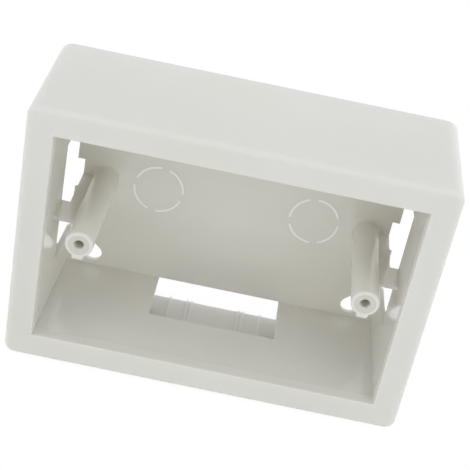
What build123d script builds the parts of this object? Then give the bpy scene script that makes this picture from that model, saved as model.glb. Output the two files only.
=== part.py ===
from build123d import *
import math
import os

# One-gang surface mount box, moulded in one piece. Millimetres, +Z up.
# X runs along the long side and Y from the open front (-Y) to the wall (+Y).
# The origin is the centre of the face that lies on the wall.

# Casing
box_length = 119.8           # long outer side at the front rim
box_height = 82.4            # short outer side at the front rim
box_depth = 44.5             # front rim plane to the wall
outer_draft = 1.0            # degrees that the outer walls flare towards the wall
corner_radius = 3.2
front_edge_radius = 1.5
skin_wall = 1.5              # outer walls
rim_width = 7.9              # flat front rim, outer edge to cavity
rim_thickness = 1.8

# Cavity
liner_wall = 1.4             # inner walls, around the cavity
cavity_draft = 1.5           # degrees that the cavity narrows towards its back
liner_corner_radius = 2.0    # outer corners of the inner walls
cavity_chamfer = 0.25        # around the cavity's mouth
back_wall = 1.6

# Raceway entries, one cut in each inner wall from the wall plane forwards
entry_width = 40.0
entry_depth = 22.3
entry_sill = 0.4             # edge of the back wall that stands past the end walls' faces

# Break-out lines for the narrower raceways, inside the outer walls
breakout_widths = (15.8, 18.6, 30.2)
score_width = 0.7
score_depth = 0.5
score_length = 24.0

# Screw posts that carry the cover plate
post_spacing = 83.3          # 3.281 in between the cover screws
post_base_radius = 4.3
post_tip_radius = 4.1
post_tip_drop = 1.5          # tips below the rim plane
post_tip_rounding = 0.6
post_root_radius = 0.8
pilot_radius = 1.45
pilot_depth = 24.0
pilot_lead = 0.3
keel_width = 3.6
keel_reach = 4.9             # screw axis to the keel's lower face
keel_rounding = 0.8

# Fin on each post and bridge from the fin to the end wall
fin_thickness = 1.1
fin_reach = 49.0             # outer edge of the fin, from the middle of the box
bridge_rear = 20.8           # from the wall plane
bridge_front = 31.0
catch_height = 0.8
catch_rear = 10.0            # from the wall plane
catch_length = 4.0
catch_lead = 0.8
core_slot_height = 10.8      # opening in the back wall behind each bridge

# Round knockouts in the back wall, each outlined by a groove with uncut tabs
knockout_spacing = 49.8
knockout_radius = 7.9
knockout_groove = 0.6        # cut from the wall side
knockout_web = 0.3           # plastic left under the groove
knockout_tabs = 4
knockout_tab_width = 2.5
knockout_turn = 10.0

# Screw holes to the wall, one teardrop near each corner of the back wall
anchor_spacing_x = 85.4
anchor_spacing_z = 55.9
anchor_radius = 2.9
anchor_tip_radius = 0.5
anchor_tip_rise = 3.25

# Stiffening ribs between the outer and inner walls
rib_thickness = 1.2
rib_spacing_x = 62.0         # on the long walls
rib_spacing_z = 54.0         # on the end walls
rib_gap = 3.0                # ribs stop short of the wall plane

# Derived sizes
flare = math.tan(math.radians(outer_draft))
narrowing = math.tan(math.radians(cavity_draft))
cavity_length = box_length - 2 * rim_width
cavity_height = box_height - 2 * rim_width
cavity_depth = box_depth - back_wall
cavity_back_x = cavity_length / 2 - cavity_depth * narrowing
cavity_back_z = cavity_height / 2 - cavity_depth * narrowing
back_wall_reach = cavity_back_x + entry_sill
liner_middle = (liner_wall - box_depth * narrowing) / 2
skin_middle = (box_depth * flare - skin_wall) / 2
post_x = post_spacing / 2
tip_from_wall = box_depth - post_tip_drop
post_length = tip_from_wall - back_wall / 2
clear_of_liner = (rim_width - liner_wall - skin_wall) / 2

# Sketch planes: Plane.XZ looks out of the box, rim_plane looks into it
rim_plane = Plane(origin=(0, -box_depth, 0), x_dir=(1, 0, 0), z_dir=(0, 1, 0))
rim_back_plane = rim_plane.offset(rim_thickness)
back_wall_plane = Plane.XZ.offset(back_wall)
post_plane = Plane.XZ.offset(back_wall / 2)
tip_plane = Plane.XZ.offset(tip_from_wall)


def skin_inset(side, from_rim):
    """Inner width of the outer walls at a distance behind the rim."""
    return side - 2 * skin_wall + 2 * from_rim * flare


with BuildSketch() as teardrop:
    Circle(anchor_radius)
    with Locations((0, anchor_tip_rise)):
        Circle(anchor_tip_radius)
    make_hull()

with BuildSketch() as knockout:
    Circle(knockout_radius + knockout_groove / 2)
    Circle(knockout_radius - knockout_groove / 2, mode=Mode.SUBTRACT)
    with PolarLocations(knockout_radius, knockout_tabs):
        Rectangle(4 * knockout_groove, knockout_tab_width, mode=Mode.SUBTRACT)

with BuildPart() as box_body:
    # Outer walls and front rim
    with BuildSketch(rim_plane):
        RectangleRounded(box_length, box_height, corner_radius)
    extrude(amount=box_depth, taper=-outer_draft)
    front_outline = box_body.faces().sort_by(Axis.Y)[0].outer_wire().edges()
    fillet(front_outline, front_edge_radius)

    # Hollow behind the rim, open towards the wall
    with BuildSketch(rim_back_plane):
        RectangleRounded(
            skin_inset(box_length, rim_thickness),
            skin_inset(box_height, rim_thickness),
            corner_radius - skin_wall,
        )
    extrude(amount=box_depth - rim_thickness, taper=-outer_draft, mode=Mode.SUBTRACT)

    # Inner walls and back wall
    with BuildSketch(rim_plane):
        RectangleRounded(
            cavity_length + 2 * liner_wall,
            cavity_height + 2 * liner_wall,
            liner_corner_radius,
        )
    extrude(amount=box_depth, taper=cavity_draft)
    with BuildSketch(rim_plane):
        Rectangle(cavity_length, cavity_height)
    extrude(amount=cavity_depth, taper=cavity_draft, mode=Mode.SUBTRACT)
    with BuildSketch(rim_plane):
        Rectangle(cavity_length + 2 * cavity_chamfer, cavity_height + 2 * cavity_chamfer)
    extrude(amount=2 * cavity_chamfer, taper=45, mode=Mode.SUBTRACT)

    # Ribs across the hollow
    with BuildSketch(Plane.XZ.offset(rib_gap)):
        for side in (-1, 1):
            z_in = cavity_height / 2 + liner_middle
            z_out = box_height / 2 + skin_middle
            with Locations((0, side * (z_in + z_out) / 2)):
                with GridLocations(rib_spacing_x, 1, 2, 1):
                    Rectangle(rib_thickness, z_out - z_in)
            x_in = cavity_length / 2 + liner_middle
            x_out = box_length / 2 + skin_middle
            with Locations((side * (x_in + x_out) / 2, 0)):
                with GridLocations(1, rib_spacing_z, 1, 2):
                    Rectangle(x_out - x_in, rib_thickness)
    extrude(amount=box_depth - rib_gap - rim_thickness / 2)

    # Raceway entries through the inner walls, and past them through the edge of the back wall
    z_out = cavity_height / 2 + liner_wall + clear_of_liner
    x_out = cavity_length / 2 + liner_wall + clear_of_liner
    for entry_plane, depth, x_in in (
        (Plane.XZ, back_wall, back_wall_reach),
        (back_wall_plane, entry_depth - back_wall, cavity_back_x),
    ):
        with BuildSketch(entry_plane):
            for side in (-1, 1):
                with Locations((0, side * (cavity_back_z + z_out) / 2)):
                    Rectangle(entry_width, z_out - cavity_back_z)
                with Locations((side * (x_in + x_out) / 2, 0)):
                    Rectangle(x_out - x_in, entry_width)
        extrude(amount=depth, mode=Mode.SUBTRACT)

    # Break-out lines, cut at an even depth along the flared outer walls
    for width in breakout_widths:
        for side in (-1, 1):
            slope = math.radians(outer_draft)
            z_wall = side * (box_height / 2 + box_depth * flare - skin_wall)
            with BuildSketch(Plane.XZ) as long_scores:
                with Locations((0, z_wall)):
                    with GridLocations(width, 1, 2, 1):
                        Rectangle(score_width, 2 * score_depth)
            extrude(
                long_scores.sketch,
                amount=score_length,
                dir=(0, -math.cos(slope), -side * math.sin(slope)),
                mode=Mode.SUBTRACT,
            )
            x_wall = side * (box_length / 2 + box_depth * flare - skin_wall)
            with BuildSketch(Plane.XZ) as end_scores:
                with Locations((x_wall, 0)):
                    with GridLocations(1, width, 1, 2):
                        Rectangle(2 * score_depth, score_width)
            extrude(
                end_scores.sketch,
                amount=score_length,
                dir=(-side * math.sin(slope), -math.cos(slope), 0),
                mode=Mode.SUBTRACT,
            )

    # Screw posts with their keels
    with Locations(post_plane):
        with GridLocations(post_spacing, 1, 2, 1):
            Cone(
                post_base_radius,
                post_tip_radius,
                post_length,
                align=(Align.CENTER, Align.CENTER, Align.MIN),
            )
    back_wall_edges = box_body.edges().filter_by_position(Axis.Y, -1.01 * back_wall, -0.99 * back_wall)
    fillet(back_wall_edges.filter_by(GeomType.CIRCLE), post_root_radius)
    with BuildSketch(post_plane) as keels:
        with Locations((0, -keel_reach / 2)):
            with GridLocations(post_spacing, 1, 2, 1):
                Rectangle(keel_width, keel_reach)
        fillet(keels.vertices().group_by(Axis.Y)[0], keel_rounding)
    extrude(amount=post_length)
    post_tips = box_body.faces().filter_by_position(Axis.Y, -1.001 * tip_from_wall, -0.999 * tip_from_wall)
    fillet(post_tips.edges(), post_tip_rounding)

    # Fins, catches and bridges
    with BuildSketch(Plane.XY):
        with BuildLine():
            Polyline(
                (post_x, -back_wall / 2),
                (fin_reach, -back_wall / 2),
                (fin_reach, -catch_rear),
                (fin_reach + catch_height, -catch_rear - catch_lead),
                (fin_reach, -catch_rear - catch_length),
                (fin_reach, -bridge_rear),
                (cavity_length / 2 + liner_middle, -bridge_rear),
                (cavity_length / 2 + liner_middle, -bridge_front),
                (post_x, -bridge_front),
                close=True,
            )
        make_face()
        mirror(about=Plane.YZ)
    extrude(amount=fin_thickness / 2, both=True)

    # Openings in the back wall
    with BuildSketch(Plane.XZ):
        for side in (-1, 1):
            with Locations((side * (fin_reach + back_wall_reach) / 2, 0)):
                Rectangle(back_wall_reach - fin_reach, core_slot_height)
        with GridLocations(anchor_spacing_x, anchor_spacing_z, 2, 2):
            add(teardrop.sketch)
    extrude(amount=back_wall, mode=Mode.SUBTRACT)
    with BuildSketch(Plane.XZ):
        for side in (-1, 1):
            with Locations((side * knockout_spacing / 2, 0)):
                add(knockout.sketch, rotation=side * knockout_turn)
    extrude(amount=back_wall - knockout_web, mode=Mode.SUBTRACT)

    # Pilot holes for the cover screws
    with Locations(tip_plane):
        with GridLocations(post_spacing, 1, 2, 1):
            CounterSinkHole(pilot_radius, pilot_radius + pilot_lead, pilot_depth)

box_body.part.label = "box_body"

os.makedirs("parts", exist_ok=True)
export_step(box_body.part, "parts/box_body.step")
print("box_body", box_body.part.bounding_box().size, round(box_body.part.volume))
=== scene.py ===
import math

import bpy
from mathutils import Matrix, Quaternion, Vector


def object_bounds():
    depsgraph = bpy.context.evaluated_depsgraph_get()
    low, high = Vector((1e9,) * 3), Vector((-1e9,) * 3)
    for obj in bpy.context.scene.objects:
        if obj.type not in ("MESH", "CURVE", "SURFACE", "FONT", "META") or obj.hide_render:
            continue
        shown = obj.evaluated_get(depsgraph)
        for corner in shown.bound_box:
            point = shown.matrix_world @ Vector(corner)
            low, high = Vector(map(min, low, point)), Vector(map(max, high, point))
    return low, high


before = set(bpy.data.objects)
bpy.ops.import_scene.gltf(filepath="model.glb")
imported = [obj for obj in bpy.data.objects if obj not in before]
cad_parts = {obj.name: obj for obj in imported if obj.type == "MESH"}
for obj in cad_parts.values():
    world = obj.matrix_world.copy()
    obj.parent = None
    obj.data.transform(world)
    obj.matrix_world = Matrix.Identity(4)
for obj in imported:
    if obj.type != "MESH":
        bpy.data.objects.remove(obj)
cad_low, cad_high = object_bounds()
scene = bpy.context.scene


# The box is one injection moulding in off-white plastic, a fine satin outside. It is glossier
# in the cavity, as from a mould with a polished core, so it mirrors softly what lies behind
# the openings. The whole piece comes from the frame as it is and takes this plastic.
box_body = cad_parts["box_body"]

white_plastic = bpy.data.materials.new("white_plastic")
white_plastic.use_nodes = True
nodes = white_plastic.node_tree.nodes
links = white_plastic.node_tree.links
plastic = nodes["Principled BSDF"]
plastic.inputs["IOR"].default_value = 1.52
plastic.inputs["Specular IOR Level"].default_value = 0.5
plastic.inputs["Subsurface Weight"].default_value = 0.4
plastic.inputs["Subsurface Radius"].default_value = (1.0, 0.95, 0.8)
plastic.inputs["Subsurface Scale"].default_value = 0.003
plastic.inputs["Emission Color"].default_value = (1.0, 0.98, 0.9, 1)
place = nodes.new("ShaderNodeTexCoord")
axes = nodes.new("ShaderNodeSeparateXYZ")
links.new(place.outputs["Object"], axes.inputs["Vector"])


def reckon(operation, *terms):
    """A Math node in the tree being built, with a link or a plain number on each input."""
    node = nodes.new("ShaderNodeMath")
    node.operation = operation
    for socket, term in zip(node.inputs, terms):
        if isinstance(term, bpy.types.NodeSocket):
            links.new(term, socket)
        else:
            socket.default_value = term
    return node.outputs["Value"]


# Colour: the resin's own off-white, with clouds some centimetres wide from the melt's flow
clouds = nodes.new("ShaderNodeTexNoise")
clouds.inputs["Scale"].default_value = 28.0
clouds.inputs["Detail"].default_value = 3.0
clouds.inputs["Distortion"].default_value = 0.6
links.new(place.outputs["Object"], clouds.inputs["Vector"])
resin = nodes.new("ShaderNodeValToRGB")
resin.color_ramp.elements[0].position = 0.3
resin.color_ramp.elements[0].color = (0.855, 0.836, 0.766, 1)
resin.color_ramp.elements[1].position = 0.7
resin.color_ramp.elements[1].color = (0.875, 0.858, 0.794, 1)
links.new(clouds.outputs["Fac"], resin.inputs["Fac"])

# The thin web round each knockout is painted paler in four arcs and given a faint glow of its own:
# both are painted light, standing in for the light that would pass it from behind.
back_wall_face = -0.0016
knockout_centre = 0.0249
arc_radius = 0.0077
arc_half_width = 0.0003
arc_depth = 0.0002
arc_painted_light = 0.8
arc_glow = 0.18
tab_half_width = 0.00125
tab_turn = math.radians(10)
from_middle = reckon("ABSOLUTE", axes.outputs["X"])
across = reckon("SUBTRACT", from_middle, knockout_centre)
height = axes.outputs["Z"]
reach = reckon("SQRT", reckon("ADD", reckon("POWER", across, 2), reckon("POWER", height, 2)))
arcs = reckon("COMPARE", reach, arc_radius, arc_half_width)
arcs = reckon("MULTIPLY", arcs, reckon("COMPARE", axes.outputs["Y"], back_wall_face, arc_depth))
for angle in (tab_turn, tab_turn + math.radians(90)):
    turned = reckon("MULTIPLY", across, math.cos(angle))
    beside = reckon("MULTIPLY_ADD", height, math.sin(angle), turned)
    off_tab = reckon("GREATER_THAN", reckon("ABSOLUTE", beside), tab_half_width)
    arcs = reckon("MULTIPLY", arcs, off_tab)

# Each outer wall is thinner along the break-out lines on its inner face, and is painted paler there:
# painted light, as though light passed the thinner wall
long_wall_face = 0.0401
end_wall_face = 0.0588
face_depth = 0.0009
score_places = (0.0079, 0.0093, 0.0151)
score_half_width = 0.0004
score_length = 0.024
score_painted_light = 0.7
from_mid_height = reckon("ABSOLUTE", height)
scores = 0
for along, wall_side, face in (
    (from_middle, from_mid_height, long_wall_face),
    (from_mid_height, from_middle, end_wall_face),
):
    on_face = reckon("COMPARE", wall_side, face, face_depth)
    for place_along in score_places:
        line = reckon("COMPARE", along, place_along, score_half_width)
        scores = reckon("MAXIMUM", scores, reckon("MULTIPLY", line, on_face))
scores = reckon("MULTIPLY", scores, reckon("GREATER_THAN", axes.outputs["Y"], -score_length))
# Painted light: the knockout arcs and the break-out lines are mixed towards near-white
painted_light_arcs = reckon("MULTIPLY", arcs, arc_painted_light)
painted_light_scores = reckon("MULTIPLY", scores, score_painted_light)
web = nodes.new("ShaderNodeMix")
web.data_type = "RGBA"
web.inputs["B"].default_value = (0.96, 0.955, 0.93, 1)
links.new(reckon("MAXIMUM", painted_light_arcs, painted_light_scores), web.inputs["Factor"])
links.new(resin.outputs["Color"], web.inputs["A"])
# Painted light: the arcs glow a little, though they are no lamp
links.new(reckon("MULTIPLY", arcs, arc_glow), plastic.inputs["Emission Strength"])

# The flat end of each post is darker and yellower out to near its rounded edge
post_centre = 0.04165
tip_face = -0.043
tip_depth = 0.0002
darker_disc_radius = 0.0032
tip_darkening = 0.8
from_post = reckon("SUBTRACT", from_middle, post_centre)
from_screw = reckon("SQRT", reckon("ADD", reckon("POWER", from_post, 2), reckon("POWER", height, 2)))
on_tip = reckon("COMPARE", axes.outputs["Y"], tip_face, tip_depth)
darker_disc = reckon("MULTIPLY", on_tip, reckon("LESS_THAN", from_screw, darker_disc_radius))
darker_tip = nodes.new("ShaderNodeMix")
darker_tip.data_type = "RGBA"
darker_tip.inputs["B"].default_value = (0.70, 0.67, 0.60, 1)
links.new(reckon("MULTIPLY", darker_disc, tip_darkening), darker_tip.inputs["Factor"])
links.new(web.outputs["Result"], darker_tip.inputs["A"])
links.new(darker_tip.outputs["Result"], plastic.inputs["Base Color"])

# Sheen: satin outside, polished within the cavity's outline from the front to the wall, both
# with patches a centimetre or so wide
cavity_half_length = 0.0519
cavity_half_height = 0.0332
satin_roughness = 0.28
satin_spread = 0.2
polish_roughness = 0.06
polish_spread = 0.05
gloss = nodes.new("ShaderNodeTexNoise")
gloss.inputs["Scale"].default_value = 75.0
gloss.inputs["Detail"].default_value = 4.0
links.new(place.outputs["Object"], gloss.inputs["Vector"])
satin = reckon("MULTIPLY_ADD", gloss.outputs["Fac"], satin_spread, satin_roughness)
polish = reckon("MULTIPLY_ADD", gloss.outputs["Fac"], polish_spread, polish_roughness)
in_length = reckon("LESS_THAN", from_middle, cavity_half_length)
in_height = reckon("LESS_THAN", from_mid_height, cavity_half_height)
inside = reckon("MULTIPLY", in_length, in_height)
core_side = nodes.new("ShaderNodeMix")
links.new(inside, core_side.inputs["Factor"])
links.new(satin, core_side.inputs["A"])
links.new(polish, core_side.inputs["B"])
links.new(core_side.outputs["Result"], plastic.inputs["Roughness"])

# Grain about a third of a millimetre across, faint on the polished side, over shallow sink
# marks everywhere
grain_outside = 0.12
grain_inside = 0.02
grain = nodes.new("ShaderNodeTexNoise")
grain.inputs["Scale"].default_value = 3200.0
grain.inputs["Detail"].default_value = 2.0
links.new(place.outputs["Object"], grain.inputs["Vector"])
sink = nodes.new("ShaderNodeTexNoise")
sink.inputs["Scale"].default_value = 55.0
sink.inputs["Detail"].default_value = 1.0
links.new(place.outputs["Object"], sink.inputs["Vector"])
grain_bump = nodes.new("ShaderNodeBump")
grain_bump.inputs["Distance"].default_value = 0.00006
grain_strength = reckon("MULTIPLY_ADD", inside, grain_inside - grain_outside, grain_outside)
links.new(grain_strength, grain_bump.inputs["Strength"])
links.new(grain.outputs["Fac"], grain_bump.inputs["Height"])
sink_bump = nodes.new("ShaderNodeBump")
sink_bump.inputs["Strength"].default_value = 0.12
sink_bump.inputs["Distance"].default_value = 0.0004
links.new(sink.outputs["Fac"], sink_bump.inputs["Height"])
links.new(grain_bump.outputs["Normal"], sink_bump.inputs["Normal"])
links.new(sink_bump.outputs["Normal"], plastic.inputs["Normal"])

box_body.data.materials.clear()
box_body.data.materials.append(white_plastic)


# Studio: a white sweep under the box. To the camera and to reflections it is nearly plain
# white, yet it still shows the box's soft shadow.
floor_size = 6.0
bpy.ops.mesh.primitive_plane_add(size=floor_size, location=(0, 0, cad_low.z))
floor = bpy.context.active_object
floor.name = "studio_floor"

sweep = bpy.data.materials.new("white_sweep")
sweep.use_nodes = True
nodes = sweep.node_tree.nodes
links = sweep.node_tree.links
paper = nodes["Principled BSDF"]
paper.inputs["Base Color"].default_value = (0.92, 0.92, 0.91, 1)
paper.inputs["Roughness"].default_value = 0.9
paper.inputs["Specular IOR Level"].default_value = 0.1
backlight = nodes.new("ShaderNodeEmission")
backlight.inputs["Strength"].default_value = 1.05
backlight_share = 0.88
ray = nodes.new("ShaderNodeLightPath")
looked_at = reckon("MAXIMUM", ray.outputs["Is Camera Ray"], ray.outputs["Is Glossy Ray"])
seen = nodes.new("ShaderNodeMixShader")
links.new(reckon("MULTIPLY", looked_at, backlight_share), seen.inputs["Fac"])
links.new(paper.outputs["BSDF"], seen.inputs[1])
links.new(backlight.outputs["Emission"], seen.inputs[2])
links.new(seen.outputs["Shader"], nodes["Material Output"].inputs["Surface"])
floor.data.materials.append(sweep)

# Even light from all round, plain white where the camera or a reflection sees past the sweep
world = bpy.data.worlds.new("studio")
world.use_nodes = True
scene.world = world
nodes = world.node_tree.nodes
links = world.node_tree.links
daylight = (0.98, 1.0, 1.03)
dome = nodes["Background"]
dome.inputs["Color"].default_value = (*daylight, 1)
dome.inputs["Strength"].default_value = 0.36
white_beyond = nodes.new("ShaderNodeBackground")
white_beyond.inputs["Color"].default_value = (1, 1, 1, 1)
white_beyond.inputs["Strength"].default_value = 1.0
ray = nodes.new("ShaderNodeLightPath")
looked_at = reckon("MAXIMUM", ray.outputs["Is Camera Ray"], ray.outputs["Is Glossy Ray"])
beyond = nodes.new("ShaderNodeMixShader")
links.new(looked_at, beyond.inputs["Fac"])
links.new(dome.outputs["Background"], beyond.inputs[1])
links.new(white_beyond.outputs["Background"], beyond.inputs[2])
links.new(beyond.outputs["Shader"], nodes["World Output"].inputs["Surface"])

# Five wide soft boxes: one overhead, two low in front and two low behind. They stay out of
# reflections, where only the white studio shows.
lit_point = Vector((0, -0.023, 0))
soft_box_side = 1.3
for name, place_at, power in (
    ("soft_box_top", Vector((0, -0.1, 1.1)), 3.4),
    ("soft_box_left", Vector((-0.9, -0.5, 0.15)), 5.4),
    ("soft_box_right", Vector((0.8, -0.7, 0.2)), 4.9),
    ("soft_box_behind_left", Vector((-0.8, 0.5, 0.15)), 1.6),
    ("soft_box_behind_right", Vector((0.8, 0.5, 0.15)), 4.6),
):
    bpy.ops.object.light_add(type="AREA", location=place_at)
    lamp = bpy.context.active_object
    lamp.name = name
    lamp.data.size = soft_box_side
    lamp.data.energy = power
    lamp.data.color = daylight
    lamp.visible_glossy = False
    lamp.rotation_euler = (lit_point - place_at).to_track_quat("-Z", "Y").to_euler()


# Camera: from in front and about 30 degrees above, held turned by 12 degrees
eye = Vector((-0.000175, -0.329357, 0.182981))
aim = Vector((0.00155, 0, -0.01157))
roll = Quaternion((0, 0, 1), math.radians(11.78))
bpy.ops.object.camera_add(location=eye)
camera = bpy.context.active_object
camera.data.sensor_width = 36.0
camera.data.lens = 91.36
camera.rotation_euler = ((aim - eye).to_track_quat("-Z", "Y") @ roll).to_euler()
scene.camera = camera
scene.view_settings.view_transform = "Standard"
